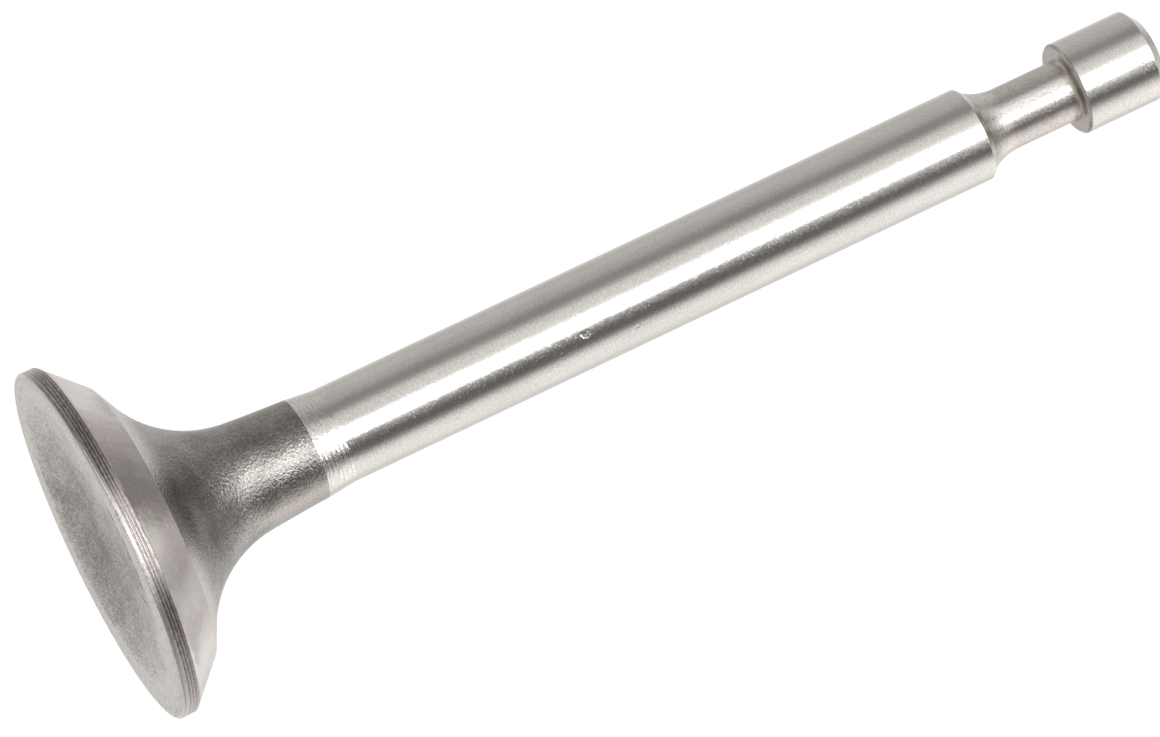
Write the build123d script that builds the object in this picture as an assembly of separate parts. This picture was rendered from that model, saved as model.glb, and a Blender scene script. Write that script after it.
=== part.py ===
from build123d import *
from math import cos, radians, sin, sqrt, tan
import os

# Engine poppet valve, turned and ground from one forged bar.
# It stands on its head: the origin is the centre of the head face and +Z runs up the stem to the tip.
# Every outline below is drawn as (radius, height) and revolved about Z. Millimetres and degrees.

# Driving dimensions
OVERALL_LENGTH = 96.0
HEAD_DIAMETER = 30.0
STEM_DIAMETER = 8.0

# Head face: a flat turned ring around a shallow dish
DISH_DIAMETER = 26.6
DISH_DEPTH = 1.0
FACE_EDGE_RADIUS = 0.2

# Margin: the cylindrical rim, with fine turning grooves towards the seat
MARGIN_HEIGHT = 1.25
MARGIN_GROOVE_COUNT = 3
MARGIN_GROOVE_PITCH = 0.26
MARGIN_GROOVE_WIDTH = 0.16
MARGIN_GROOVE_DEPTH = 0.06
FIRST_GROOVE_HEIGHT = 0.5

# Seat: the ground cone that closes on the valve seat
SEAT_ANGLE = 45.0
SEAT_INNER_DIAMETER = 23.7

# Neck: the back of the head, its fillet and the forged taper up to the stem
BACK_ANGLE = 28.0
NECK_FILLET_RADIUS = 9.8
NECK_TAPER_ANGLE = 4.2
NECK_TOP_DIAMETER = 8.5
NECK_TOP_HEIGHT = 18.7
NECK_STEP_LENGTH = 0.6

# Keeper groove: a chamfer and a long concave run-in from the stem, then a square shoulder under the tip
STEM_TOP_HEIGHT = 79.4
STEM_CHAMFER = 0.5
GROOVE_DIAMETER = 5.26
GROOVE_RUN_IN_RADIUS = 4.8
GROOVE_SHOULDER_HEIGHT = 88.4
GROOVE_SHOULDER_FILLET = 0.4

# Tip button, a hair under the stem's size so that a guide passes over it
TIP_DIAMETER = 7.94
TIP_LOWER_CHAMFER = 0.2
TIP_UPPER_CHAMFER_RADIAL = 1.0
TIP_UPPER_CHAMFER_AXIAL = 0.85

head_radius = HEAD_DIAMETER / 2
stem_radius = STEM_DIAMETER / 2
groove_radius = GROOVE_DIAMETER / 2
tip_radius = TIP_DIAMETER / 2
seat_inner_radius = SEAT_INNER_DIAMETER / 2
seat_inner_height = MARGIN_HEIGHT + (head_radius - seat_inner_radius) * tan(radians(SEAT_ANGLE))
stem_foot_height = NECK_TOP_HEIGHT + NECK_STEP_LENGTH


def polar_point(start, angle, length):
    """The point at that angle and distance from start."""
    return (start[0] + length * cos(radians(angle)), start[1] + length * sin(radians(angle)))


def crossing(start, angle, other, other_angle):
    """Where the line through start at angle meets the line through other at other_angle."""
    ax, ay = cos(radians(angle)), sin(radians(angle))
    bx, by = cos(radians(other_angle)), sin(radians(other_angle))
    dx, dy = other[0] - start[0], other[1] - start[1]
    along = (dx * by - dy * bx) / (ax * by - ay * bx)
    return (start[0] + ax * along, start[1] + ay * along)


def face_outline():
    """Dish, flat ring and rounded edge, from the axis to the foot of the margin."""
    TangentArc((0, DISH_DEPTH), (DISH_DIAMETER / 2, 0), tangent=(1, 0))
    Line((DISH_DIAMETER / 2, 0), (head_radius - FACE_EDGE_RADIUS, 0))
    TangentArc((head_radius - FACE_EDGE_RADIUS, 0), (head_radius, FACE_EDGE_RADIUS), tangent=(1, 0))


def margin_outline():
    """The cylindrical rim with its V-shaped turning grooves, up to the seat."""
    corners = [(head_radius, FACE_EDGE_RADIUS)]
    for index in range(MARGIN_GROOVE_COUNT):
        middle = FIRST_GROOVE_HEIGHT + index * MARGIN_GROOVE_PITCH
        corners += [
            (head_radius, middle - MARGIN_GROOVE_WIDTH / 2),
            (head_radius - MARGIN_GROOVE_DEPTH, middle),
            (head_radius, middle + MARGIN_GROOVE_WIDTH / 2),
        ]
    Polyline(*corners, (head_radius, MARGIN_HEIGHT))


def neck_outline():
    """Seat cone, back of the head, fillet and tapered neck, with the small step down to the ground stem."""
    seat_inner = (seat_inner_radius, seat_inner_height)
    neck_top = (NECK_TOP_DIAMETER / 2, NECK_TOP_HEIGHT)
    back_direction = 180 - BACK_ANGLE
    taper_direction = 90 + NECK_TAPER_ANGLE
    corner = crossing(seat_inner, back_direction, neck_top, taper_direction)
    fillet_run = NECK_FILLET_RADIUS * tan(radians((back_direction - taper_direction) / 2))
    fillet_start = polar_point(corner, back_direction, -fillet_run)
    fillet_end = polar_point(corner, taper_direction, fillet_run)
    Polyline((head_radius, MARGIN_HEIGHT), seat_inner, fillet_start)
    TangentArc(fillet_start, fillet_end, tangent=polar_point((0, 0), back_direction, 1))
    Polyline(fillet_end, neck_top, (stem_radius, stem_foot_height))


def stem_outline():
    """Ground stem, its end chamfer and the concave run-in to the keeper groove."""
    chamfer_top = (stem_radius - STEM_CHAMFER, STEM_TOP_HEIGHT + STEM_CHAMFER)
    run_in_depth = chamfer_top[0] - groove_radius
    run_in_length = sqrt(run_in_depth * (2 * GROOVE_RUN_IN_RADIUS - run_in_depth))
    run_in_top = (groove_radius, chamfer_top[1] + run_in_length)
    Polyline((stem_radius, stem_foot_height), (stem_radius, STEM_TOP_HEIGHT), chamfer_top)
    TangentArc(run_in_top, chamfer_top, tangent=(0, -1))
    Line(run_in_top, (groove_radius, GROOVE_SHOULDER_HEIGHT - GROOVE_SHOULDER_FILLET))


def tip_outline():
    """Shoulder fillet, shoulder, tip button with its two chamfers, and the flat tip face to the axis."""
    fillet_start = (groove_radius, GROOVE_SHOULDER_HEIGHT - GROOVE_SHOULDER_FILLET)
    fillet_end = (groove_radius + GROOVE_SHOULDER_FILLET, GROOVE_SHOULDER_HEIGHT)
    TangentArc(fillet_start, fillet_end, tangent=(0, 1))
    Polyline(
        fillet_end,
        (tip_radius - TIP_LOWER_CHAMFER, GROOVE_SHOULDER_HEIGHT),
        (tip_radius, GROOVE_SHOULDER_HEIGHT + TIP_LOWER_CHAMFER),
        (tip_radius, OVERALL_LENGTH - TIP_UPPER_CHAMFER_AXIAL),
        (tip_radius - TIP_UPPER_CHAMFER_RADIAL, OVERALL_LENGTH),
        (0, OVERALL_LENGTH),
    )


def make_valve():
    """The whole valve: one closed half-section revolved about its axis."""
    with BuildPart() as valve:
        with BuildSketch(Plane.XZ):
            with BuildLine():
                face_outline()
                margin_outline()
                neck_outline()
                stem_outline()
                tip_outline()
                Line((0, OVERALL_LENGTH), (0, DISH_DEPTH))
            make_face()
        revolve(axis=Axis.Z)
    return valve.part


os.makedirs("parts", exist_ok=True)
export_step(make_valve(), "parts/valve.step")
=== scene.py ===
"""An engine poppet valve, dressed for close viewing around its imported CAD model.

The valve stands on its head with its axis along +Z and the centre of the head face at the origin.
Outlines and textures are worked out in millimetres, and meshes are written in metres.
Bearings are degrees round the valve's axis, from -Y towards +X.
"""

import logging
import math
from dataclasses import dataclass, field
from enum import Enum

import bpy
import numpy as np
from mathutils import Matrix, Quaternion, Vector, noise


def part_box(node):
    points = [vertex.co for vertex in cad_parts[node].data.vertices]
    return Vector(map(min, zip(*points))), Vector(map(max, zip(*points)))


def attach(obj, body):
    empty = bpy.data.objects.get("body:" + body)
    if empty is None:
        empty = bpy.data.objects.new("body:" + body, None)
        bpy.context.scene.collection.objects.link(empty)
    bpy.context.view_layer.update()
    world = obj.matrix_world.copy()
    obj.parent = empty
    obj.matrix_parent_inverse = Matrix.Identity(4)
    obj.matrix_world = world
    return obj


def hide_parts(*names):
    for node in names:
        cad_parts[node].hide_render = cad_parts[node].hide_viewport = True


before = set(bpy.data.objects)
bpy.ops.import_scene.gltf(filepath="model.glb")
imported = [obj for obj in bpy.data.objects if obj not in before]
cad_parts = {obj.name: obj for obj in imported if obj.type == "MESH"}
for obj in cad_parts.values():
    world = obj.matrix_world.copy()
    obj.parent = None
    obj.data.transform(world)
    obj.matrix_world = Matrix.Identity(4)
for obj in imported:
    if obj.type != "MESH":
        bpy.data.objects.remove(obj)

LOG = logging.getLogger("engine_valve")
MM = 0.001

NOISE_AVERAGE = 0.5

Colour = tuple[float, float, float]
Triple = tuple[float, float, float]
Point = tuple[float, float]
Span = tuple[float, float]  # where a change starts and where it ends
Band = tuple[float, float, float]  # a middle, how far round it is full, and how far it reaches


# Shader building


class Number:
    """A single value in a node tree, which Python's operators turn into Math nodes."""

    def __init__(self, graph: "Graph", socket: bpy.types.NodeSocket) -> None:
        """Wraps one output socket of a graph."""
        self.graph = graph
        self.socket = socket

    def math(self, operation: str, *others: "Number | float", first: bool = True) -> "Number":
        """Adds a Math node.

        Args:
            operation: The Math node's operation.
            others: Its other operands.
            first: Whether this value is the first operand, and not the second.

        Returns:
            The node's result.
        """
        operands = [self, *others] if first else [*others, self]
        node = self.graph.node("ShaderNodeMath", {"operation": operation}, dict(enumerate(operands)))
        return Number(self.graph, node.outputs[0])

    def __add__(self, other: "Number | float") -> "Number":
        """self + other"""
        return self.math("ADD", other)

    def __radd__(self, other: float) -> "Number":
        """other + self"""
        return self.math("ADD", other)

    def __sub__(self, other: "Number | float") -> "Number":
        """self - other"""
        return self.math("SUBTRACT", other)

    def __rsub__(self, other: float) -> "Number":
        """other - self"""
        return self.math("SUBTRACT", other, first=False)

    def __mul__(self, other: "Number | float") -> "Number":
        """self * other"""
        return self.math("MULTIPLY", other)

    def __rmul__(self, other: float) -> "Number":
        """other * self"""
        return self.math("MULTIPLY", other)

    def __pow__(self, other: float) -> "Number":
        """self to the power of other"""
        return self.math("POWER", other)

    def __neg__(self) -> "Number":
        """The value with its sign changed."""
        return self * -1.0

    def __abs__(self) -> "Number":
        """The value without its sign."""
        return self.math("ABSOLUTE")

    def step(self, start: float, end: float, low: float = 0.0, high: float = 1.0) -> "Number":
        """A smooth change from low to high as the value goes from start to end.

        Args:
            start: The value where the change starts.
            end: The value where it ends, which may be the lower of the two.
            low: The result before the change.
            high: The result after it.

        Returns:
            The result, held at low and high outside the change.
        """
        if start > end:
            start, end, low, high = end, start, high, low
        settings = {"interpolation_type": "SMOOTHSTEP"}
        inputs = {"Value": self, "From Min": start, "From Max": end, "To Min": low, "To Max": high}
        return Number(self.graph, self.graph.node("ShaderNodeMapRange", settings, inputs).outputs["Result"])

    def near(self, middle: float, full: float, reach: float) -> "Number":
        """A share that is full near a value and falls away from it.

        Args:
            middle: The value.
            full: How far from it the share is 1.
            reach: How far from it the share falls to 0.

        Returns:
            The share.
        """
        return abs(self - middle).step(reach, full)

    def turned_from(self, other: float) -> "Number":
        """How far this bearing is from another one, in degrees from 0 to 180."""
        return abs((self - other).math("WRAP", 180.0, -180.0))

    def capped(self) -> "Number":
        """The value, and 1 where it would be more."""
        return self.math("MINIMUM", 1.0)


@dataclass(frozen=True)
class Grain:
    """One layer of cloudy texture: how fine it is, how far it shifts the colour and how high it stands.

    The scale is how many clouds there are to a millimetre, or to a millimetre along each axis.
    """

    scale: float | Triple
    detail: float = 2.0
    rough: float = 0.5
    shading: float = 0.0
    height: float = 0.0


class Layer(Number):
    """A texture's noise at each place, about 0.5 on average."""

    def __init__(self, graph: "Graph", socket: bpy.types.NodeSocket, grain: Grain) -> None:
        """Wraps the noise's output."""
        super().__init__(graph, socket)
        self.grain = grain

    @property
    def shade(self) -> Number:
        """How far it shifts the mix of a finish's two colours, about 0 on average."""
        return (self - NOISE_AVERAGE) * self.grain.shading

    @property
    def relief(self) -> Number:
        """How high it stands, in millimetres."""
        return self * self.grain.height


class Graph:
    """A node tree that is built from Python."""

    def __init__(self, tree: bpy.types.NodeTree) -> None:
        """Takes over a tree and empties it."""
        self.tree = tree
        tree.nodes.clear()

    def node(self, kind: str, settings: dict | None = None, inputs: dict | None = None) -> bpy.types.Node:
        """Adds any node.

        Args:
            kind: The node's type.
            settings: Its settings, which are set first. A ramp's stops are a list of position and colour.
            inputs: The value of each socket, or what is linked to it, by the socket's name or index.

        Returns:
            The node.
        """
        made = self.tree.nodes.new(kind)
        for name, setting in (settings or {}).items():
            if name == "stops":
                self._set_stops(made.color_ramp, setting)
            else:
                setattr(made, name, setting)
        for key, given in (inputs or {}).items():
            source = given.socket if isinstance(given, Number) else given
            if isinstance(source, bpy.types.NodeSocket):
                self.tree.links.new(source, made.inputs[key])
            else:
                made.inputs[key].default_value = source
        return made

    @staticmethod
    def _set_stops(ramp: bpy.types.ColorRamp, stops: list[tuple[float, Colour]]) -> None:
        """Gives a ramp its stops.

        Args:
            ramp: The ramp, which has two stops.
            stops: Two stops or more, each with its position and colour.
        """
        while len(ramp.elements) < len(stops):
            ramp.elements.new(1.0)
        for element, (position, colour) in zip(ramp.elements, stops):
            element.position = position
            element.color = (*colour, 1.0)

    def mix(
        self, share: Number, first: Colour | bpy.types.NodeSocket, second: Colour | bpy.types.NodeSocket
    ) -> bpy.types.NodeSocket:
        """Mixes two colours.

        Args:
            share: How much of the second colour there is.
            first: The first colour.
            second: The second colour.

        Returns:
            The mixed colour.
        """
        operands = [(*c, 1.0) if isinstance(c, tuple) else c for c in (first, second)]
        inputs = {"Factor": share, 6: operands[0], 7: operands[1]}
        return self.node("ShaderNodeMix", {"data_type": "RGBA"}, inputs).outputs[2]

    def ramp(self, value: Number, levels: tuple[Point, ...]) -> Number:
        """A value that follows straight lines between given levels.

        Args:
            value: What the levels go by, from 0 to 1.
            levels: Where each level is, and the level.

        Returns:
            The level.
        """
        stops = [(position, (level, level, level)) for position, level in levels]
        return Number(self, self.node("ShaderNodeValToRGB", {"stops": stops}, {0: value}).outputs["Color"])

    def scaled(self, vector: bpy.types.NodeSocket, scale: Triple) -> bpy.types.NodeSocket:
        """A vector with each component multiplied by its own factor."""
        node = self.node("ShaderNodeVectorMath", {"operation": "MULTIPLY"}, {0: vector, 1: scale})
        return node.outputs["Vector"]

    def parts(self, vector: bpy.types.NodeSocket) -> tuple[Number, Number, Number]:
        """A vector's three components."""
        outputs = self.node("ShaderNodeSeparateXYZ", None, {0: vector}).outputs
        return Number(self, outputs[0]), Number(self, outputs[1]), Number(self, outputs[2])

    def end(self, kind: str, surface: bpy.types.NodeSocket) -> None:
        """Adds the output of a material or a world."""
        self.node(kind, None, {"Surface": surface})


def bearing(x: Number, y: Number) -> Number:
    """The bearing of a direction, in degrees from -180 to 180."""
    return x.math("ARCTAN2", -y) * math.degrees(1.0)


def new_material(name: str) -> bpy.types.Material:
    """Starts a material that is made of nodes.

    Args:
        name: The material's name.

    Returns:
        The material.
    """
    material = bpy.data.materials.new(name)
    material.use_nodes = True
    return material


class Steel(Graph):
    """The nodes of one steel finish, which go by the place on the valve in millimetres."""

    def __init__(self, name: str) -> None:
        """Starts the material and works out the place, its radius, its height and its bearing.

        Args:
            name: The material's name.
        """
        self.material = new_material(name)
        super().__init__(self.material.node_tree)
        local = self.node("ShaderNodeTexCoord").outputs["Object"]
        self.place = self.scaled(local, (1 / MM, 1 / MM, 1 / MM))
        self.x, self.y, self.height = self.parts(self.place)
        self.radius = (self.x * self.x + self.y * self.y) ** 0.5
        self.around = bearing(self.x, self.y)

    def layer(self, grain: Grain, where: bpy.types.NodeSocket | None = None) -> Layer:
        """Cloudy noise.

        Args:
            grain: The texture.
            where: The coordinates, if they aren't the place on the valve.

        Returns:
            The noise.
        """
        where, scale = where if where is not None else self.place, grain.scale
        if isinstance(scale, tuple):
            where, scale = self.scaled(where, scale), 1.0
        inputs = {"Vector": where, "Scale": scale, "Detail": grain.detail, "Roughness": grain.rough}
        return Layer(self, self.node("ShaderNodeTexNoise", None, inputs).outputs["Fac"], grain)

    def wear(self) -> Number:
        """How deep the surface is dented here, from the mesh, in tenths of a millimetre."""
        settings = {"attribute_type": "GEOMETRY", "attribute_name": "wear"}
        return Number(self, self.node("ShaderNodeAttribute", settings).outputs["Fac"])

    def bump(self, height: Number, under: bpy.types.NodeSocket | None = None) -> bpy.types.NodeSocket:
        """Bends the surface's normal.

        Args:
            height: The height of the relief, in millimetres.
            under: The normal that it adds to.

        Returns:
            The bent normal.
        """
        inputs = {"Height": height, "Strength": 1.0, "Distance": MM}
        if under is not None:
            inputs["Normal"] = under
        return self.node("ShaderNodeBump", None, inputs).outputs["Normal"]

    def finish(
        self, colour: bpy.types.NodeSocket, roughness: Number, normal: bpy.types.NodeSocket
    ) -> bpy.types.Material:
        """Adds the metal shader and the output.

        Args:
            colour: The steel's colour.
            roughness: Its roughness.
            normal: Its bent normal.

        Returns:
            The finished material.
        """
        inputs = {"Base Color": colour, "Roughness": roughness, "Normal": normal, "Metallic": 1.0}
        shader = self.node("ShaderNodeBsdfPrincipled", None, inputs)
        self.end("ShaderNodeOutputMaterial", shader.outputs["BSDF"])
        return self.material


# Finishes. Heights, radii and distances are in millimetres, and bearings in degrees.


@dataclass(frozen=True)
class Mark:
    """A marked place on the steel: how strong it is, where it starts and ends up the valve, and round it.

    How uneven it is says how much of a texture's noise is added to its level.
    """

    level: float = 1.0
    uneven: float = 0.0
    foot: Span | None = None
    top: Span | None = None
    band: Band | None = None
    colour: Colour | None = None

    def share(self, steel: Steel, texture: Layer | None = None) -> Number:
        """Works out how strongly each place is marked.

        Args:
            steel: The finish that the mark is on.
            texture: The texture that an uneven mark goes by.

        Returns:
            The share of the mark.
        """
        shares = [steel.height.step(*span) for span in (self.foot, self.top) if span]
        if self.band:
            shares.append(steel.around.near(*self.band))
        level = self.level if texture is None else self.level + texture * self.uneven
        return math.prod(shares, start=level)

    def lay(self, steel: Steel, colour: bpy.types.NodeSocket, texture: Layer) -> bpy.types.NodeSocket:
        """Lays the mark's own colour over another colour.

        Args:
            steel: The finish that the mark is on.
            colour: The colour without the mark.
            texture: The texture that the mark goes by.

        Returns:
            The colour with the mark.
        """
        return steel.mix(self.share(steel, texture).capped(), colour, self.colour)


@dataclass(frozen=True)
class ForgedFace:
    """The dished face: forged, blasted and dark with soot towards its middle, with a turned ring round it."""

    dark: Colour = (0.135, 0.122, 0.108)
    light: Colour = (0.60, 0.585, 0.565)
    ring: Colour = (0.57, 0.555, 0.54)
    clouds: Grain = Grain(0.4, 3.0, 0.6, shading=0.8)
    mottle: Grain = Grain(2.2, 3.0, 0.65, shading=0.65, height=0.05)
    grain: Grain = Grain(5.6, 2.0, 0.7, shading=2.0, height=0.03)
    turning: Grain = Grain(5.5, height=0.010)
    grain_stretch: Triple = (1.0, 0.45, 1.0)
    soot_middle: Point = (-0.4, 5.2)
    soot_reach: Span = (2.0, 16.2)
    soot_level: float = 0.67
    near_middle: Point = (2.6, -6.2)
    near_reach: Span = (1.5, 7.0)
    near_level: float = 0.20
    # Painted shade: the face is darkened by how deep its dents are.
    dent_painted_shade: float = 0.7
    # Painted highlight: a thin band just inside the dish's edge, with its darkening cleared and its colour
    # lightened.
    brink_highlight: Mark = Mark(foot=(0.0, 0.02), top=(0.09, 0.03))
    brink_highlight_clearing: float = 0.8
    brink_highlight_lift: float = 0.3
    ring_heights: Span = (0.09, 0.0)
    ring_radii: Span = (12.0, 12.4)
    ring_cover: float = 0.8
    ring_flecks: Span = (-0.1, 0.35)
    ring_fleck_level: float = 0.75
    ring_dent_painted_shade: float = 0.9
    # Painted shade: the turned ring is darkened towards the rim on the -Y side.
    rim_shade_radii: Span = (13.4, 14.6)
    rim_shade_side: Span = (6.0, -6.0)
    rim_shade_level: float = 0.17
    ring_smoothing: float = 0.6
    roughness: float = 0.46
    grain_gloss: float = 0.12
    ring_gloss: float = 0.06

    @staticmethod
    def _away(steel: Steel, middle: Point) -> Number:
        """The distance from a point on the face."""
        off_x, off_y = steel.x - middle[0], steel.y - middle[1]
        return (off_x * off_x + off_y * off_y) ** 0.5

    def material(self) -> bpy.types.Material:
        """Makes the finish.

        Returns:
            The finish as a material.
        """
        steel = Steel("forged_face")
        stretched = steel.scaled(steel.place, self.grain_stretch)
        clouds, mottle, grain = (steel.layer(g, stretched) for g in (self.clouds, self.mottle, self.grain))
        soot = self._away(steel, self.soot_middle).step(*self.soot_reach, self.soot_level, 0.0)
        soot = soot + self._away(steel, self.near_middle).step(*self.near_reach, self.near_level, 0.0)
        # Darkening from soot, cloudy texture and, as painted shade, the depth of the dents.
        shade = soot + clouds.shade + mottle.shade + grain.shade + steel.wear() * self.dent_painted_shade
        # Painted highlight just inside the dish's edge: the darkening is cleared there and the colour
        # lightened.
        brink_highlight = self.brink_highlight.share(steel)
        shade = shade * (1.0 - brink_highlight * self.brink_highlight_clearing) - brink_highlight * self.brink_highlight_lift
        forged = steel.mix(shade.math("MAXIMUM", 0.0), self.light, self.dark)
        ring_share = steel.height.step(*self.ring_heights) * steel.radius.step(*self.ring_radii)
        flecks = (mottle + grain - 2 * NOISE_AVERAGE).step(*self.ring_flecks, 0.0, self.ring_fleck_level)
        # Painted shade towards the rim on the -Y side.
        rim_shade = steel.radius.step(*self.rim_shade_radii) * steel.y.step(*self.rim_shade_side)
        # The ring's darkening: its own flecks, painted shade by the depth of its dents, and painted shade
        # towards the rim on the -Y side.
        stain_and_shade = flecks + steel.wear() * self.ring_dent_painted_shade + rim_shade * self.rim_shade_level
        ring = steel.mix(stain_and_shade.capped(), self.ring, self.dark)
        colour = steel.mix(ring_share * self.ring_cover, forged, ring)
        across = steel.node("ShaderNodeCombineXYZ", None, {0: steel.radius}).outputs[0]
        turning = steel.layer(self.turning, across)
        forged_normal = steel.bump((grain.relief + mottle.relief) * (1.0 - ring_share * self.ring_smoothing))
        normal = steel.bump(turning.relief * ring_share, forged_normal)
        roughness = self.roughness - grain * self.grain_gloss - ring_share * self.ring_gloss
        return steel.finish(colour, roughness, normal)


@dataclass(frozen=True)
class TurnedMargin:
    """The rim, turned with a sharp tool and dark in its grooves, partly from staining and partly from painted
    shade.
    """

    ridge: Colour = (0.41, 0.383, 0.375)
    # The dark colour of staining and of painted shade.
    darkened: Colour = (0.13, 0.117, 0.113)
    # The lighter ridges of the painted highlight.
    bright: Colour = (0.72, 0.67, 0.655)
    # Painted light: the paler steel towards both sides of the rim.
    side_sheen: Colour = (0.76, 0.725, 0.71)
    # The near-white of the painted highlight on the plain band.
    highlight_white: Colour = (0.95, 0.915, 0.89)
    streaks: Grain = Grain((1.1, 1.1, 7.0), shading=0.8, height=0.014)
    flecks: Grain = Grain(3.6, 3.0, 0.65, shading=2.1, height=0.02)
    groove_middle: float = 0.5
    groove_pitch: float = 0.26
    groove_wave: Span = (-0.6, 0.9)
    # The grooves' bottoms are darkened by their depth: painted shade together with staining.
    groove_shade_and_stain: float = 0.65
    grooved_heights: Span = (0.34, 0.40)
    grooved_stain: float = 0.28
    # Painted highlight: round bearing 2, where the rim catches the light, its darkening is mostly cleared and
    # its ridges lightened.
    painted_highlight: Mark = Mark(band=(2.0, 9.0, 24.0))
    highlight_flecks: Span = (0.3, 0.6)
    highlight_clearing: float = 0.72
    # Painted light towards both sides of the rim: the bare steel turns paler and the darkening fades.
    side_sheen_right: Span = (50.0, 84.0)
    side_sheen_left: Span = (-64.0, -84.0)
    side_fade_right: Span = (28.0, 76.0)
    side_fade_left: Span = (-62.0, -80.0)
    side_fade_level: float = 0.3
    edge_line: Mark = Mark(0.75, foot=(0.08, 0.14), top=(0.28, 0.22), band=(-51.0, 9.0, 20.0))
    # Painted highlight: near-white flecks on the plain band next to the face's edge, round bearing -4.
    plain_band_highlight: Mark = Mark(foot=(0.04, 0.12), top=(0.22, 0.12), band=(-4.0, 22.0, 32.0))
    plain_band_highlight_flecks: Span = (0.30, 0.50)
    roughness: float = 0.34
    fleck_roughness: float = 0.14

    def material(self) -> bpy.types.Material:
        """Makes the finish.

        Returns:
            The finish as a material.
        """
        steel = Steel("turned_margin")
        height, around = steel.height, steel.around
        streaks, flecks = steel.layer(self.streaks), steel.layer(self.flecks)
        turn = (height - self.groove_middle) * (2 * math.pi / self.groove_pitch)
        grooved = height.step(*self.grooved_heights)
        depth = turn.math("COSINE").step(*self.groove_wave) * grooved
        # Painted highlight round bearing 2.
        painted_highlight = self.painted_highlight.share(steel)
        # Painted light: the darkening fades towards both sides of the rim.
        side_fade = around.step(*self.side_fade_right, 1.0, self.side_fade_level)
        side_fade = side_fade * around.step(*self.side_fade_left, 1.0, self.side_fade_level)
        # Darkening of the rim: painted shade and staining in the groove bottoms, staining over the grooved
        # band, and texture.
        stain_and_shade = depth * self.groove_shade_and_stain + grooved * self.grooved_stain + flecks.shade + streaks.shade
        # The darkening is cleared in the painted highlight and faded at the sides as painted light, and the
        # dark edge line is added.
        stain_and_shade = stain_and_shade * (1.0 - painted_highlight * self.highlight_clearing) * side_fade + self.edge_line.share(steel)
        # The ridges lighten in the painted highlight.
        bare = steel.mix(painted_highlight * flecks.step(*self.highlight_flecks), self.ridge, self.bright)
        # Painted light: paler steel towards both sides of the rim.
        side_sheen = around.step(*self.side_sheen_right) + around.step(*self.side_sheen_left)
        bare = steel.mix(side_sheen, bare, self.side_sheen)
        colour = steel.mix(stain_and_shade.math("MAXIMUM", 0.0), bare, self.darkened)
        # Painted highlight on the plain band, round bearing -4.
        plain_band_highlight = self.plain_band_highlight.share(steel) * flecks.step(*self.plain_band_highlight_flecks)
        colour = steel.mix(plain_band_highlight, colour, self.highlight_white)
        normal = steel.bump(flecks.relief + streaks.relief)
        return steel.finish(colour, self.roughness + flecks * self.fleck_roughness, normal)


@dataclass(frozen=True)
class GroundSeat:
    """The seat, ground smooth, with faint clouded patches and grain that creeps in from the neck."""

    plain: Colour = (0.74, 0.725, 0.70)
    clouded: Colour = (0.63, 0.577, 0.57)
    grained: Colour = (0.42, 0.41, 0.395)
    bright: Colour = (0.88, 0.85, 0.82)
    patches: Grain = Grain(0.3, 3.0, 0.6, height=0.05)
    flecks: Grain = Grain(2.4, 3.0, 0.65, height=0.006)
    lines: Grain = Grain((0.3, 0.3, 6.0), height=0.004)
    grain: Grain = Grain(5.0, 2.0, 0.6, shading=1.8, height=0.03)
    blush: Mark = Mark(0.10, band=(-18.0, 10.0, 32.0))
    cloud_edge: Span = (0.40, 0.60)
    scuffed_flecks: Span = (0.5, 0.72)
    scuffed_patches: Span = (0.42, 0.58)
    scuffed_level: float = 0.5
    grain_bearing: float = -62.0
    grain_reach: Span = (20.0, 62.0)
    grain_far_level: float = 0.15
    grain_heights: Span = (2.6, 4.4)
    grain_level: float = 0.15
    # Painted highlight: a lighter haze low on the seat round bearing 4.
    painted_highlight: Mark = Mark(0.4, 1.2, top=(3.4, 1.6), band=(4.0, 3.0, 11.0), colour=bright)
    # Painted shade along the seat's lower edge, next to the rim.
    darkened: Mark = Mark(0.24, 0.4, top=(1.50, 1.32), colour=(0.22, 0.20, 0.195))
    roughness: float = 0.12
    patch_roughness: float = 0.12
    grain_roughness: float = 0.14

    def material(self) -> bpy.types.Material:
        """Makes the finish.

        Returns:
            The finish as a material.
        """
        steel = Steel("ground_seat")
        patches, flecks, lines = (steel.layer(g) for g in (self.patches, self.flecks, self.lines))
        grain = steel.layer(self.grain)
        clouded = (patches + self.blush.share(steel)).step(*self.cloud_edge)
        colour = steel.mix(clouded, self.plain, self.clouded)
        scuffed = flecks.step(*self.scuffed_flecks) * patches.step(*self.scuffed_patches)
        colour = steel.mix(scuffed * self.scuffed_level, colour, self.bright)
        turned_away = steel.around.turned_from(self.grain_bearing)
        creep = turned_away.step(*self.grain_reach, 1.0, self.grain_far_level)
        creep = steel.height.step(*self.grain_heights) * creep
        share = creep * self.grain_level + grain.shade * creep
        colour = steel.mix(share.math("MAXIMUM", 0.0), colour, self.grained)
        # Lays the painted highlight and the painted shade along the seat's lower edge.
        for mark in (self.painted_highlight, self.darkened):
            colour = mark.lay(steel, colour, flecks)
        normal = steel.bump(patches.relief + flecks.relief + lines.relief + grain.relief * creep)
        roughness = self.roughness + patches * self.patch_roughness + creep * self.grain_roughness
        return steel.finish(colour, roughness, normal)


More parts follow.
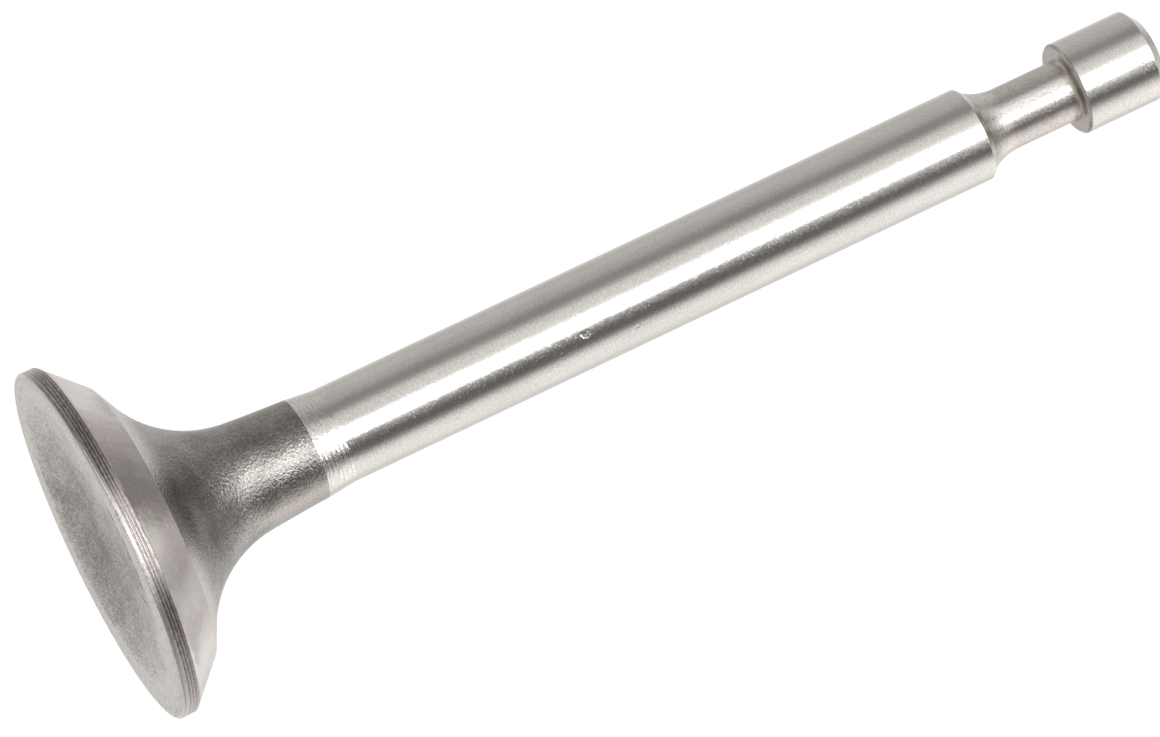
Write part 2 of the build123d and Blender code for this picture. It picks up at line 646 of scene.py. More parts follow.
@dataclass(frozen=True)
class BlastedNeck:
    """The neck, left dark from heat treatment and shot-blasted to a sparkling satin grain."""

    dark: Colour = (0.17, 0.163, 0.153)
    light: Colour = (0.45, 0.437, 0.416)
    seat_edge: Colour = (0.66, 0.645, 0.62)
    clouds: Grain = Grain(0.45, 3.0, 0.55, shading=0.8)
    pits: Grain = Grain(3.4, 3.0, 0.6, shading=0.5, height=0.046)
    grain: Grain = Grain(6.0, 2.0, 0.6, shading=1.1, height=0.041)
    lightness: float = 0.45
    # Painted shade: a dark patch on the neck from height 6.6 to 11.4, round bearing 16.
    painted_shade_patch: Mark = Mark(0.2, foot=(6.6, 7.6), top=(11.4, 9.4), band=(16.0, 14.0, 46.0))
    # Lighter towards the seat. Round bearings near 0 this is held back, a painted shade, and low down there a
    # painted lift of light is added.
    edge: Mark = Mark(0.9, top=(6.9, 4.2))
    edge_grain: float = 0.7
    edge_share: Span = (0.1, 1.0)
    shaded_bearings: Span = (2.0, 30.0)
    shaded_level: float = 0.75
    front_lift: Mark = Mark(0.22, top=(6.7, 5.2), band=(0.0, 8.0, 30.0))
    # Painted light: a paler, pinkish patch high on the neck round bearing 66.
    right_sheen: Mark = Mark(0.4, 0.8, foot=(11.0, 14.0), band=(66.0, 12.0, 28.0), colour=(0.52, 0.475, 0.455))
    roughness: float = 0.13
    cloud_roughness: float = 0.06

    def material(self) -> bpy.types.Material:
        """Makes the finish.

        Returns:
            The finish as a material.
        """
        steel = Steel("blasted_neck")
        clouds, pits, grain = (steel.layer(g) for g in (self.clouds, self.pits, self.grain))
        # Lightness from the textures, less the painted shade patch.
        shade = self.lightness + clouds.shade + grain.shade + pits.shade - self.painted_shade_patch.share(steel)
        blasted = steel.mix(shade.step(0.0, 1.0), self.dark, self.light)
        # Painted shade: the lightening towards the seat is held back round bearings near 0.
        shaded = abs(steel.around).step(*self.shaded_bearings, self.shaded_level, 1.0)
        edge = self.edge.share(steel) * shaded + (grain - NOISE_AVERAGE) * self.edge_grain
        # Painted light: a lift low on the neck round bearing 0.
        edge = edge + self.front_lift.share(steel)
        colour = steel.mix(edge.step(*self.edge_share), blasted, self.seat_edge)
        # Painted light: the paler patch high on the neck round bearing 66.
        colour = self.right_sheen.lay(steel, colour, grain)
        normal = steel.bump(pits.relief + grain.relief)
        return steel.finish(colour, self.roughness + clouds * self.cloud_roughness, normal)


@dataclass(frozen=True)
class GroundStem:
    """The stem and the tip, centreless ground: short fine lines round the stem, with a faint speckle."""

    plain: Colour = (0.785, 0.77, 0.745)
    dull: Colour = (0.625, 0.612, 0.592)
    lines: Grain = Grain((3.2, 3.2, 8.0), 2.0, 0.65, shading=1.1, height=0.007)
    combs: Grain = Grain((1.4, 1.4, 5.0), 2.0, 0.6)
    speckle: Grain = Grain((6.0, 6.0, 9.0), 2.0, 0.6, shading=1.3, height=0.008)
    patches: Grain = Grain((0.6, 0.6, 0.18), shading=0.5)
    dullness: float = 0.45
    dull_share: Span = (0.1, 0.9)
    nicked_lines: Span = (0.54, 0.74)
    nicked_speckle: Span = (0.58, 0.76)
    nick_depth: float = 0.0055
    comb_heights: Span = (21.8, 19.4)
    comb_relief: Span = (0.003, 0.06)
    matt: Mark = Mark(0.1, top=(20.4, 18.7))
    soft: Mark = Mark(0.05, foot=(45.0, 82.0))
    roughness: float = 0.045
    speckle_roughness: float = 0.12
    patch_roughness: float = 0.03

    def material(self) -> bpy.types.Material:
        """Makes the finish.

        Returns:
            The finish as a material.
        """
        steel = Steel("ground_stem")
        lines, combs, speckle = (steel.layer(g) for g in (self.lines, self.combs, self.speckle))
        patches = steel.layer(self.patches)
        shade = self.dullness + lines.shade + speckle.shade + patches.shade
        colour = steel.mix(shade.step(*self.dull_share), self.plain, self.dull)
        nicks = lines.step(*self.nicked_lines) + speckle.step(*self.nicked_speckle)
        coarse = combs * steel.height.step(*self.comb_heights, *self.comb_relief)
        relief = coarse + lines.relief + speckle.relief
        normal = steel.bump(relief - nicks * self.nick_depth)
        roughness = self.roughness + speckle * self.speckle_roughness + patches * self.patch_roughness
        roughness = roughness + self.matt.share(steel) + self.soft.share(steel)
        return steel.finish(colour, roughness, normal)


@dataclass(frozen=True)
class TurnedGroove:
    """The keeper groove and its shoulder, turned and left with the tool's grain."""

    plain: Colour = (0.74, 0.70, 0.675)
    dull: Colour = (0.47, 0.44, 0.42)
    lines: Grain = Grain((0.8, 0.8, 6.0), 3.0, 0.6, shading=0.8, height=0.022)
    speckle: Grain = Grain(4.5, 3.0, 0.6, shading=1.4, height=0.030)
    dullness: float = 0.4
    # Painted highlight: a near-white band round bearing -17.5.
    patchy: Mark = Mark(0.4, 1.0, band=(-17.5, 3.0, 12.0), colour=(0.95, 0.925, 0.90))
    # Painted shade: a dark band round bearing 20.
    darkened: Mark = Mark(0.3, 0.8, band=(20.0, 6.0, 17.0), colour=(0.27, 0.25, 0.235))
    # Painted shade: the groove turned dark brown at the shoulder, from height 87.7 up.
    shoulder: Mark = Mark(0.45, 1.0, foot=(87.7, 88.3), colour=(0.40, 0.37, 0.345))
    roughness: float = 0.25
    speckle_roughness: float = 0.12

    def material(self) -> bpy.types.Material:
        """Makes the finish.

        Returns:
            The finish as a material.
        """
        steel = Steel("turned_groove")
        lines, speckle = steel.layer(self.lines), steel.layer(self.speckle)
        shade = self.dullness + lines.shade + speckle.shade
        colour = steel.mix(shade.step(0.0, 1.0), self.plain, self.dull)
        # Lays the painted highlight, the painted shade round bearing 20 and the painted shade at the
        # shoulder.
        for mark in (self.patchy, self.darkened, self.shoulder):
            colour = mark.lay(steel, colour, speckle)
        normal = steel.bump(lines.relief + speckle.relief)
        return steel.finish(colour, self.roughness + speckle * self.speckle_roughness, normal)


class Zone(Enum):
    """The stretches of the valve's surface, each with its own finish."""

    FACE = 0
    MARGIN = 1
    SEAT = 2
    NECK = 3
    STEM = 4
    GROOVE = 5


FINISHES = {
    Zone.FACE: ForgedFace(),
    Zone.MARGIN: TurnedMargin(),
    Zone.SEAT: GroundSeat(),
    Zone.NECK: BlastedNeck(),
    Zone.STEM: GroundStem(),
    Zone.GROOVE: TurnedGroove(),
}


# The valve's mesh


# The most that two points of the outline are apart on each finish, in millimetres
SPACINGS = {
    Zone.FACE: 0.5,
    Zone.MARGIN: 0.2,
    Zone.SEAT: 0.6,
    Zone.NECK: 0.5,
    Zone.STEM: 3.0,
    Zone.GROOVE: 0.4,
}


@dataclass
class Outline:
    """A line of (radius, height) points in millimetres, from the middle of the face to that of the tip."""

    points: list[Point] = field(default_factory=list)
    zones: list[Zone] = field(default_factory=list)
    hold: float = 0.03

    def start(self, point: Point) -> None:
        """Puts the first point down."""
        self.points.append(point)

    def line(self, end: Point, zone: Zone, spacing: float | None = None) -> None:
        """Draws a straight run.

        Args:
            end: Where it ends.
            zone: The finish on it.
            spacing: The most that two of its points are apart, if it isn't what is usual for the finish.
        """
        first = self.points[-1]
        count = max(1, math.ceil(math.dist(first, end) / (spacing or SPACINGS[zone])))
        for index in range(1, count + 1):
            share = index / count
            self.points.append(tuple(a + (b - a) * share for a, b in zip(first, end)))
            self.zones.append(zone)

    def arc(self, centre: Point, end: Point, zone: Zone, spacing: float) -> None:
        """Draws the shorter arc to a point.

        Args:
            centre: The arc's centre.
            end: Where it ends.
            zone: The finish on it.
            spacing: The most that two of its points are apart.
        """
        first = self.points[-1]
        radius = math.dist(first, centre)
        begin = math.atan2(first[1] - centre[1], first[0] - centre[0])
        finish = math.atan2(end[1] - centre[1], end[0] - centre[0])
        turn = (finish - begin + math.pi) % (2 * math.pi) - math.pi
        count = max(2, math.ceil(abs(turn) * radius / spacing))
        for index in range(1, count + 1):
            angle = begin + turn * index / count
            self.points.append((centre[0] + radius * math.cos(angle), centre[1] + radius * math.sin(angle)))
            self.zones.append(zone)

    def soften(self, zone: Zone, corner: Point, end: Point, radius: float) -> None:
        """Draws a straight run to a corner and rounds the corner towards the next run.

        Args:
            zone: The finish on it.
            corner: The corner that the run goes to.
            end: A point on the next run.
            radius: The radius of the rounding.
        """
        first = self.points[-1]
        before = np.subtract(first, corner) / math.dist(first, corner)
        after = np.subtract(end, corner) / math.dist(end, corner)
        half = math.acos(float(np.clip(before @ after, -1, 1))) / 2
        run = radius / math.tan(half)
        middle = (before + after) / np.linalg.norm(before + after)
        centre = tuple(np.add(corner, middle * radius / math.sin(half)))
        self.line(tuple(np.add(corner, before * (run + self.hold))), zone)
        self.line(tuple(np.add(corner, before * run)), zone, self.hold)
        self.arc(centre, tuple(np.add(corner, after * run)), zone, radius / 2)
        self.line(tuple(np.add(corner, after * (run + self.hold))), zone, self.hold)


@dataclass(frozen=True)
class Rings:
    """Rings of vertices with one finish: their radii and heights in millimetres, and the angles in them."""

    zone: Zone
    radii: np.ndarray
    heights: np.ndarray
    angles: np.ndarray

    @property
    def places(self) -> np.ndarray:
        """Where each ring is along the surface: its radius on the face and its height elsewhere."""
        return self.radii if self.zone is Zone.FACE else self.heights

    def cloud(self, scale: float) -> np.ndarray:
        """Smooth random depths from 0 to 1.

        Args:
            scale: How many clouds there are to a millimetre.

        Returns:
            The share, by ring and by vertex in the ring.
        """
        cloud = np.empty((len(self.radii), len(self.angles)))
        for row, (radius, height) in enumerate(zip(self.radii * scale, self.heights * scale)):
            for column, angle in enumerate(self.angles):
                where = Vector((radius * math.sin(angle), -radius * math.cos(angle), height))
                cloud[row, column] = 0.5 + 0.5 * noise.noise(where)
        return np.clip(cloud, 0.0, 1.0)


@dataclass(frozen=True)
class Dent:
    """A small hollow in the surface. Its place is a radius on the face and a height elsewhere."""

    zone: Zone
    bearing: float
    place: float
    half_length: float
    half_width: float
    depth: float

    def depths(self, rings: Rings) -> np.ndarray:
        """Works out how deep the hollow is.

        Args:
            rings: The rings of vertices.

        Returns:
            The depth in millimetres, by ring and by vertex in the ring.
        """
        turn = (rings.angles - math.radians(self.bearing) + math.pi) % (2 * math.pi) - math.pi
        along = rings.radii[:, None] * turn[None, :] / self.half_length
        across = (rings.places - self.place)[:, None] / self.half_width
        return self.depth * np.exp(-(along**2) - across**2)


@dataclass(frozen=True)
class Wear:
    """What forging, turning and handling left on the surface, cut inwards. Sizes are in millimetres."""

    dents: tuple[Dent, ...] = (
        Dent(Zone.FACE, 78.0, 11.7, 0.22, 0.3, 0.10),
        Dent(Zone.FACE, 57.2, 11.8, 0.22, 0.3, 0.10),
        Dent(Zone.FACE, -27.0, 11.4, 0.45, 0.5, 0.11),
        Dent(Zone.FACE, -20.0, 10.3, 0.40, 0.5, 0.10),
        Dent(Zone.FACE, -13.0, 8.4, 0.6, 0.55, 0.15),
        Dent(Zone.FACE, -10.5, 9.0, 0.40, 0.4, 0.11),
        Dent(Zone.FACE, -3.0, 7.7, 0.35, 0.4, 0.10),
        Dent(Zone.FACE, 4.5, 8.6, 0.40, 0.4, 0.10),
        Dent(Zone.FACE, 13.0, 7.8, 0.50, 0.4, 0.12),
        Dent(Zone.FACE, 22.0, 8.6, 0.40, 0.4, 0.11),
        Dent(Zone.FACE, 31.5, 8.1, 0.40, 0.4, 0.11),
        Dent(Zone.FACE, 48.5, 7.3, 0.35, 0.4, 0.08),
        Dent(Zone.FACE, 104.0, 11.7, 0.3, 0.3, 0.06),
        Dent(Zone.FACE, 123.0, 11.8, 0.25, 0.25, 0.06),
        Dent(Zone.STEM, 17.2, 41.86, 0.10, 0.10, 0.045),
        Dent(Zone.STEM, 20.8, 41.98, 0.11, 0.10, 0.05),
        Dent(Zone.STEM, 18.6, 42.16, 0.13, 0.10, 0.055),
        Dent(Zone.STEM, 22.6, 42.28, 0.10, 0.10, 0.045),
        Dent(Zone.STEM, 16.6, 42.40, 0.10, 0.09, 0.04),
        Dent(Zone.STEM, 20.2, 42.50, 0.11, 0.09, 0.045),
        Dent(Zone.STEM, 28.7, 39.8, 0.10, 0.10, 0.03),
        Dent(Zone.STEM, 39.0, 46.48, 0.10, 0.12, 0.03),
    )
    full_depth: float = 0.1
    foot_ring_pitch: float = 0.38
    foot_ring_depth: float = 0.014
    foot_ring_start: float = 18.7
    foot_ring_end: float = 21.6
    foot_ring_fade: float = 1.5
    ridge_wear: float = 0.035
    ridge_scale: float = 2.2
    ridge_start: float = 0.3
    ridge_fade: float = 0.1
    edge_groove_middle: float = 0.19
    edge_groove_half: float = 0.07
    edge_groove_depth: float = 0.06
    edge_groove_bearings: Span = (-78.0, -30.0)
    edge_groove_run_out: float = 12.0
    neck_swell: float = 0.05
    neck_scale: float = 0.25
    neck_heights: Span = (4.5, 18.6)
    neck_fade: float = 1.5
    face_swell: float = 0.04
    face_scale: float = 0.35
    face_radius: float = 12.6
    face_fade: float = 2.0

    def depths(self, rings: Rings) -> np.ndarray:
        """Works out how deep everything is cut.

        Args:
            rings: The rings of vertices.

        Returns:
            The depth in millimetres, by ring and by vertex in the ring.
        """
        total = np.zeros((len(rings.radii), len(rings.angles)))
        for dent in self.dents:
            if dent.zone is rings.zone:
                total += dent.depths(rings)
        if rings.zone is Zone.MARGIN:
            total += self._margin(rings)
        if rings.zone is Zone.STEM:
            total += self._foot_rings(rings.heights)[:, None]
        if rings.zone is Zone.NECK:
            low, high = self.neck_heights
            inside = self._fade(np.minimum(rings.heights - low, high - rings.heights), self.neck_fade)
            total += self.neck_swell * rings.cloud(self.neck_scale) * inside[:, None]
        if rings.zone is Zone.FACE:
            inside = self._fade(self.face_radius - rings.radii, self.face_fade)
            total += self.face_swell * rings.cloud(self.face_scale) * inside[:, None]
        return total

    def _margin(self, rings: Rings) -> np.ndarray:
        """Works out the wear on the ridges of the rim and the groove at the edge of its face.

        Args:
            rings: The rings of vertices.

        Returns:
            The depth in millimetres, by ring and by vertex in the ring.
        """
        patchy = self.ridge_wear * rings.cloud(self.ridge_scale)
        patchy *= self._fade(rings.heights - self.ridge_start, self.ridge_fade)[:, None]
        low, high = np.radians(self.edge_groove_bearings)
        turn = (rings.angles + math.pi) % (2 * math.pi) - math.pi
        spread = self._fade(np.minimum(turn - low, high - turn), math.radians(self.edge_groove_run_out))
        off_middle = np.abs(rings.heights - self.edge_groove_middle)
        groove = self._fade(self.edge_groove_half - off_middle, self.edge_groove_half)
        return patchy + self.edge_groove_depth * groove[:, None] * spread[None, :]

    def _foot_rings(self, heights: np.ndarray) -> np.ndarray:
        """Works out the coarse turned rings at the foot of the stem, which fade out up it.

        Args:
            heights: The height of each ring of vertices, in millimetres.

        Returns:
            The depth of each, in millimetres.
        """
        fade = self._fade(self.foot_ring_end - heights, self.foot_ring_fade)
        wave = 0.5 - 0.5 * np.cos(2 * math.pi * (heights - self.foot_ring_start) / self.foot_ring_pitch)
        return self.foot_ring_depth * wave * fade

    @staticmethod
    def _fade(inside: np.ndarray, length: float) -> np.ndarray:
        """A share that goes from 0 at an edge to 1 at that length inside it."""
        return np.clip(inside / length, 0.0, 1.0)


@dataclass
class Valve:
    """The valve: one forged bar, turned and ground. Sizes are in millimetres, angles in degrees."""

    head_radius: float
    overall_length: float
    stem_radius: float = 4.0
    dish_radius: float = 13.3
    dish_depth: float = 1.0
    face_edge_radius: float = 0.2
    margin_height: float = 1.25
    groove_count: int = 3
    groove_pitch: float = 0.26
    groove_width: float = 0.16
    groove_depth: float = 0.06
    first_groove: float = 0.5
    seat_inner_radius: float = 11.85
    back_angle: float = 28.0
    neck_fillet_radius: float = 9.8
    neck_taper_angle: float = 4.2
    neck_top_radius: float = 4.25
    neck_top_height: float = 18.7
    finish_overlap: float = 0.35
    foot_points: tuple[Point, ...] = ((4.19, 19.05), (4.11, 19.85), (4.0, 20.9))
    stem_top_height: float = 79.4
    stem_chamfer: float = 0.5
    keeper_radius: float = 2.63
    run_in_radius: float = 4.8
    shoulder_height: float = 88.4
    shoulder_fillet: float = 0.4
    tip_radius: float = 3.97
    tip_lower_chamfer: float = 0.2
    tip_upper_chamfer_radial: float = 1.0
    tip_upper_chamfer_axial: float = 0.85
    edge_break: float = 0.05
    foot_end: float = 21.6
    dented_spans: tuple[Span, ...] = ((39.6, 40.05), (41.6, 42.75), (46.3, 46.7))
    segments: int = 340
    wear: Wear = field(default_factory=Wear)
    dish_shift: float = -0.5
    dish_edge: float = 13.1
    dish_wobble: float = 0.16
    wobble_scale: float = 3.0
    wobble_seed: float = 5.0
    dish_edge_width: float = 2.4
    dish_spacing: float = 0.42
    dish_edge_spacing: float = 0.25
    fine_spacing: float = 0.05
    foot_spacing: float = 0.095
    dent_spacing: float = 0.08
    run_in_spacing: float = 0.25
    fillet_spacing: float = 0.1
    tip_spacing: float = 0.6

    def outline(self) -> Outline:
        """Draws the whole outline.

        Returns:
            The outline, with the finish on each stretch.
        """
        drawn = Outline()
        self._draw_face(drawn)
        self._draw_margin(drawn)
        self._draw_neck(drawn)
        self._draw_stem(drawn)
        self._draw_tip(drawn)
        return drawn

    def _draw_face(self, drawn: Outline) -> None:
        """Draws the dish, the flat ring and its rounded edge.

        Args:
            drawn: The outline so far.
        """
        arc_radius = (self.dish_radius**2 + self.dish_depth**2) / (2 * self.dish_depth)
        drawn.start((0.0, self.dish_depth))
        fine_from = self.dish_radius - self.dish_edge_width
        height = self.dish_depth - arc_radius + math.sqrt(arc_radius**2 - fine_from**2)
        centre = (0.0, self.dish_depth - arc_radius)
        drawn.arc(centre, (fine_from, height), Zone.FACE, self.dish_spacing)
        drawn.arc(centre, (self.dish_radius, 0.0), Zone.FACE, self.dish_edge_spacing)
        edge_start = self.head_radius - self.face_edge_radius
        edge_end = (self.head_radius, self.face_edge_radius)
        drawn.line((edge_start, 0.0), Zone.FACE, SPACINGS[Zone.MARGIN])
        drawn.arc((edge_start, self.face_edge_radius), edge_end, Zone.MARGIN, self.fine_spacing)

    def _draw_margin(self, drawn: Outline) -> None:
        """Draws the rim with its turned grooves.

        Args:
            drawn: The outline so far.
        """
        half = self.groove_width / 2
        for index in range(self.groove_count):
            middle = self.first_groove + index * self.groove_pitch
            for depth, offset in ((0.0, -half), (self.groove_depth, 0.0), (0.0, half)):
                drawn.line((self.head_radius - depth, middle + offset), Zone.MARGIN, self.fine_spacing)
        corner, seat_inner = (self.head_radius, self.margin_height), self._seat_inner()
        drawn.soften(Zone.MARGIN, corner, seat_inner, self.edge_break / 2)

    def _seat_inner(self) -> Point:
        """The seat's inner edge, for a seat at 45 degrees."""
        return (self.seat_inner_radius, self.margin_height + self.head_radius - self.seat_inner_radius)

    def _draw_neck(self, drawn: Outline) -> None:
        """Draws the seat, the back of the head, the fillet and the taper, up to the foot of the ground stem.

        Args:
            drawn: The outline so far.
        """
        seat_inner = self._seat_inner()
        back_turn, taper_turn = math.radians(self.back_angle), math.radians(self.neck_taper_angle)
        back = np.array([-math.cos(back_turn), math.sin(back_turn)])
        taper = np.array([-math.sin(taper_turn), math.cos(taper_turn)])
        top = np.array([self.neck_top_radius, self.neck_top_height])
        along = np.linalg.solve(np.column_stack([back, -taper]), top - np.array(seat_inner))[0]
        corner = np.array(seat_inner) + back * along
        half_turn = math.acos(float(back @ taper)) / 2
        run = self.neck_fillet_radius * math.tan(half_turn)
        start, end = corner - back * run, corner + taper * run
        centre = start + np.array([back[1], -back[0]]) * self.neck_fillet_radius
        drawn.soften(Zone.SEAT, seat_inner, tuple(start), self.edge_break)
        drawn.line(tuple(start), Zone.NECK)
        drawn.arc(tuple(centre), tuple(end), Zone.NECK, SPACINGS[Zone.NECK])
        drawn.line(tuple(top - taper * self.finish_overlap), Zone.NECK)
        for point in self.foot_points:
            drawn.line(point, Zone.STEM, self.foot_spacing)

    def _draw_stem(self, drawn: Outline) -> None:
        """Draws the ground stem, its end chamfer and the run-in to the keeper groove.

        Args:
            drawn: The outline so far.
        """
        chamfer_top = (self.stem_radius - self.stem_chamfer, self.stem_top_height + self.stem_chamfer)
        depth = chamfer_top[0] - self.keeper_radius
        length = math.sqrt(depth * (2 * self.run_in_radius - depth))
        run_in_top = (self.keeper_radius, chamfer_top[1] + length)
        centre = (self.keeper_radius + self.run_in_radius, run_in_top[1])
        drawn.line((self.stem_radius, self.foot_end), Zone.STEM, self.foot_spacing)
        for low, high in self.dented_spans:
            drawn.line((self.stem_radius, low), Zone.STEM)
            drawn.line((self.stem_radius, high), Zone.STEM, self.dent_spacing)
        drawn.soften(Zone.STEM, (self.stem_radius, self.stem_top_height), chamfer_top, self.edge_break)
        drawn.line(chamfer_top, Zone.STEM, self.run_in_spacing)
        drawn.arc(centre, run_in_top, Zone.GROOVE, self.run_in_spacing)
        fillet_start = (self.keeper_radius, self.shoulder_height - self.shoulder_fillet)
        drawn.line(fillet_start, Zone.GROOVE)
        fillet_end = (self.keeper_radius + self.shoulder_fillet, self.shoulder_height)
        drawn.arc((fillet_end[0], fillet_start[1]), fillet_end, Zone.GROOVE, self.fillet_spacing)

    def _draw_tip(self, drawn: Outline) -> None:
        """Draws the shoulder, the tip button, its chamfers and the flat tip face.

        Args:
            drawn: The outline so far.
        """
        corners = (
            (self.tip_radius - self.tip_lower_chamfer, self.shoulder_height),
            (self.tip_radius, self.shoulder_height + self.tip_lower_chamfer),
            (self.tip_radius, self.overall_length - self.tip_upper_chamfer_axial),
            (self.tip_radius - self.tip_upper_chamfer_radial, self.overall_length),
            (0.0, self.overall_length),
        )
        zones = (Zone.GROOVE, Zone.GROOVE, Zone.STEM, Zone.STEM)
        for zone, corner, following in zip(zones, corners, corners[1:]):
            drawn.soften(zone, corner, following, self.edge_break)
        drawn.line(corners[-1], Zone.STEM, self.tip_spacing)

    def build(self) -> bpy.types.Object:
        """Revolves the outline into one closed mesh and dresses it.

        Returns:
            The valve's object.
        """
        drawn = self.outline()
        points = np.array(drawn.points)
        rings = points[1:-1]
        angles = np.arange(self.segments) * 2 * math.pi / self.segments
        along = points[2:] - points[:-2]
        along /= np.linalg.norm(along, axis=1)[:, None]
        depths = np.zeros((len(rings), self.segments))
        for zone in Zone:
            rows = np.array([drawn_zone is zone for drawn_zone in drawn.zones[1:]])
            depths[rows] = self.wear.depths(Rings(zone, *rings[rows].T, angles))
        radii = self._dish_radii(rings[:, 0], drawn.zones[1:], angles) - along[:, 1:] * depths
        places = np.empty((len(rings), self.segments, 3))
        places[:, :, 0] = radii * np.sin(angles)
        places[:, :, 1] = -radii * np.cos(angles)
        places[:, :, 2] = rings[:, 1:] + along[:, :1] * depths
        ends = [(0.0, 0.0, drawn.points[0][1]), (0.0, 0.0, drawn.points[-1][1])]
        vertices = np.vstack([places.reshape(-1, 3), *ends])
        faces, zones = self._faces(drawn)
        mesh = bpy.data.meshes.new("engine_valve")
        mesh.from_pydata((vertices * MM).tolist(), [], faces)
        for zone in Zone:
            mesh.materials.append(FINISHES[zone].material())
        mesh.polygons.foreach_set("material_index", zones)
        mesh.shade_smooth()
        wear = mesh.attributes.new("wear", "FLOAT", "POINT")
        wear.data.foreach_set("value", np.append(depths.ravel() / self.wear.full_depth, (0.0, 0.0)))
        valve = bpy.data.objects.new("engine_valve", mesh)
        bpy.context.scene.collection.objects.link(valve)
        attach(valve, "root")
        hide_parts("valve")
        return valve

    def _dish_radii(self, radii: np.ndarray, zones: list[Zone], angles: np.ndarray) -> np.ndarray:
        """The radius of every vertex, with the dish's edge a little off centre and uneven.

        Args:
            radii: The radius of each ring on the drawn outline.
            zones: The zone of each ring.
            angles: The angle of each vertex in a ring, in radians.

        Returns:
            The radius in millimetres, by ring and by vertex in the ring.
        """
        turns = np.stack([np.sin(angles), np.cos(angles)], axis=1) * self.wobble_scale
        wobble = [noise.noise(Vector((*turn, self.wobble_seed))) for turn in turns]
        edge = self.dish_edge + self.dish_shift * np.sin(angles) + self.dish_wobble * np.array(wobble)
        spread = np.repeat(radii[:, None], len(angles), axis=1)
        outer = self.head_radius - self.face_edge_radius
        inside = spread * edge / self.dish_radius
        ring = edge + (spread - self.dish_radius) * (outer - edge) / (outer - self.dish_radius)
        moved = np.where(spread <= self.dish_radius, inside, ring)
        on_face = np.array([zone is Zone.FACE for zone in zones])[:, None] & (spread < outer)
        return np.where(on_face, moved, spread)

    def _faces(self, drawn: Outline) -> tuple[list[tuple[int, ...]], list[int]]:
        """The mesh's faces.

        Args:
            drawn: The outline.

        Returns:
            The vertices of each face, and the number of its zone.
        """
        ring_count, around = len(drawn.points) - 2, self.segments
        bottom, top = ring_count * around, ring_count * around + 1
        faces, zones = [], []
        for j in range(around):
            k = (j + 1) % around
            faces.append((bottom, k, j))
            zones.append(drawn.zones[0].value)
            for i in range(ring_count - 1):
                low, high = i * around, (i + 1) * around
                faces.append((low + j, low + k, high + k, high + j))
                zones.append(drawn.zones[i + 1].value)
            last = (ring_count - 1) * around
            faces.append((last + j, last + k, top))
            zones.append(drawn.zones[-1].value)
        return faces, zones


# The studio


@dataclass(frozen=True)
class Panel:
    """A soft box, a reflector or a dark flag, standing upright round the valve."""

    bearing: float
    half_width: float
    level: float
    softness: float
    low: float = -2.0
    high: float = 2.0
    rim: float = 0.1

    def lay(self, around: Number, height: Number, level: Number) -> Number:
        """Lays the panel over what is round the valve.

        Args:
            around: The bearing that is looked at.
            height: How high up is looked at, from -1 to 1.
            level: The brightness without the panel.

        Returns:
            The brightness with it.
        """
        away = around.turned_from(self.bearing)
        share = away.step(self.half_width + self.softness / 2, self.half_width - self.softness / 2)
        low, high = (self.low, self.low + self.rim), (self.high, self.high - self.rim)
        band = height.step(*low) * height.step(*high)
        return level + (self.level - level) * share * band


@dataclass(frozen=True)
class TablePanel(Panel):
    """A panel that lies below the horizon."""

    high: float = -0.02


